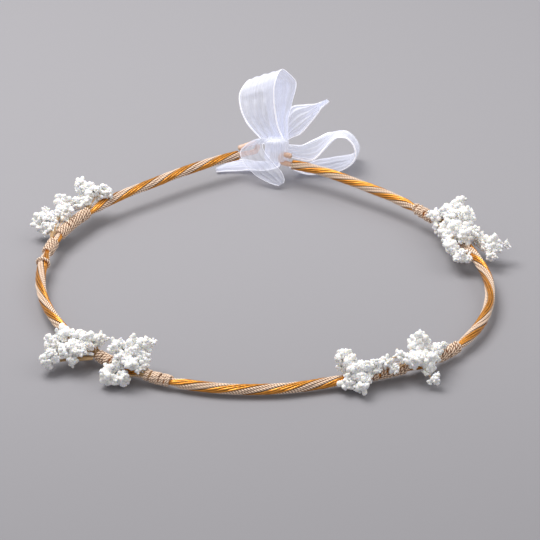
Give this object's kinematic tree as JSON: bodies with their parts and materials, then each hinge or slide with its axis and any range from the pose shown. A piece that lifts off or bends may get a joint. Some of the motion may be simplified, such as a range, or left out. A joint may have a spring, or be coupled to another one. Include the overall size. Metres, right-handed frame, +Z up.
{
  "type": "flower crown",
  "caption": "Open head hoop of four-strand twisted rope with cord-bound bunches of small white flowers and an organza bow tied at the back.",
  "frame": {"origin": "middle of the footprint's box, on the ground under the resting crown", "axes": "+Z up; +X from the hoop's left end towards its right end, seen from the front; +Y from the front towards the bow at the back of the head"},
  "size_m": [0.1958, 0.1856, 0.053],
  "materials": {
    "cord": "matt twisted cotton cord",
    "gold_straw": "glossy amber metallic straw",
    "wire": "paper covered wire",
    "tape": "matt nude florist's tape",
    "flower": "matt bleached dried flowers",
    "organza": "sheer crisp organza"
  },
  "bodies": {
    "crown": {"binding_left_back_1": "cord", "binding_left_back_2": "cord", "binding_left_front_1": "cord", "binding_left_front_2": "cord", "binding_right_back": "cord", "binding_right_front_1": "cord", "binding_right_front_2": "cord", "bow_knot": "organza", "braid_strand_1": "cord", "braid_strand_2": "cord", "core_wire": "wire", "crossing_cord_left": "cord", "gold_strand_1": "gold_straw", "gold_strand_2": "gold_straw", "sprig_left_back_1_a": "flower", "sprig_left_back_1_b": "flower", "sprig_left_back_1_c": "flower", "sprig_left_back_1_d": "flower", "sprig_left_back_2_a": "flower", "sprig_left_back_2_b": "flower", "sprig_left_back_2_c": "flower", "sprig_left_front_1_a": "flower", "sprig_left_front_1_b": "flower", "sprig_left_front_1_c": "flower", "sprig_left_front_1_d": "flower", "sprig_left_front_1_e": "flower", "sprig_left_front_2_a": "flower", "sprig_left_front_2_b": "flower", "sprig_left_front_2_c": "flower", "sprig_left_front_2_d": "flower", "sprig_right_back_a": "flower", "sprig_right_back_b": "flower", "sprig_right_back_c": "flower", "sprig_right_back_d": "flower", "sprig_right_back_e": "flower", "sprig_right_back_f": "flower", "sprig_right_front_1_a": "flower", "sprig_right_front_1_b": "flower", "sprig_right_front_1_c": "flower", "sprig_right_front_2_a": "flower", "sprig_right_front_2_b": "flower", "sprig_right_front_2_c": "flower", "sprig_right_front_2_d": "flower", "sprig_right_front_2_e": "flower", "tape_left": "tape", "tape_right": "tape"},
    "bow_tall_loop": {"bow_tall_loop": "organza"},
    "bow_right_loop": {"bow_right_loop": "organza"},
    "bow_upper_tail": {"bow_upper_tail": "organza"},
    "bow_front_loop": {"bow_front_loop": "organza"},
    "bow_left_tail": {"bow_left_tail": "organza"}
  },
  "joints": [
    {"name": "tall_loop_lean", "type": "hinge", "parent": "crown", "child": "bow_tall_loop", "pos_m": [0.0016, 0.0757, 0.0184], "axis": [0, 1, 0], "range_deg": [-30, 20]},
    {"name": "right_loop_lift", "type": "hinge", "parent": "crown", "child": "bow_right_loop", "pos_m": [0.0091, 0.0767, 0.0099], "axis": [0, -1, 0], "range_deg": [0, 20]},
    {"name": "upper_tail_fall", "type": "hinge", "parent": "crown", "child": "bow_upper_tail", "pos_m": [0.0061, 0.0807, 0.0179], "axis": [-1, 0, 0], "range_deg": [-15, 60]},
    {"name": "front_loop_lift", "type": "hinge", "parent": "crown", "child": "bow_front_loop", "pos_m": [-0.0044, 0.0727, 0.0179], "axis": [-1, 0, 0], "range_deg": [0, 60]},
    {"name": "left_tail_swing", "type": "hinge", "parent": "crown", "child": "bow_left_tail", "pos_m": [0.002, 0.0767, 0.0061], "axis": [0, 0, 1], "range_deg": [-45, 30]}
  ]
}
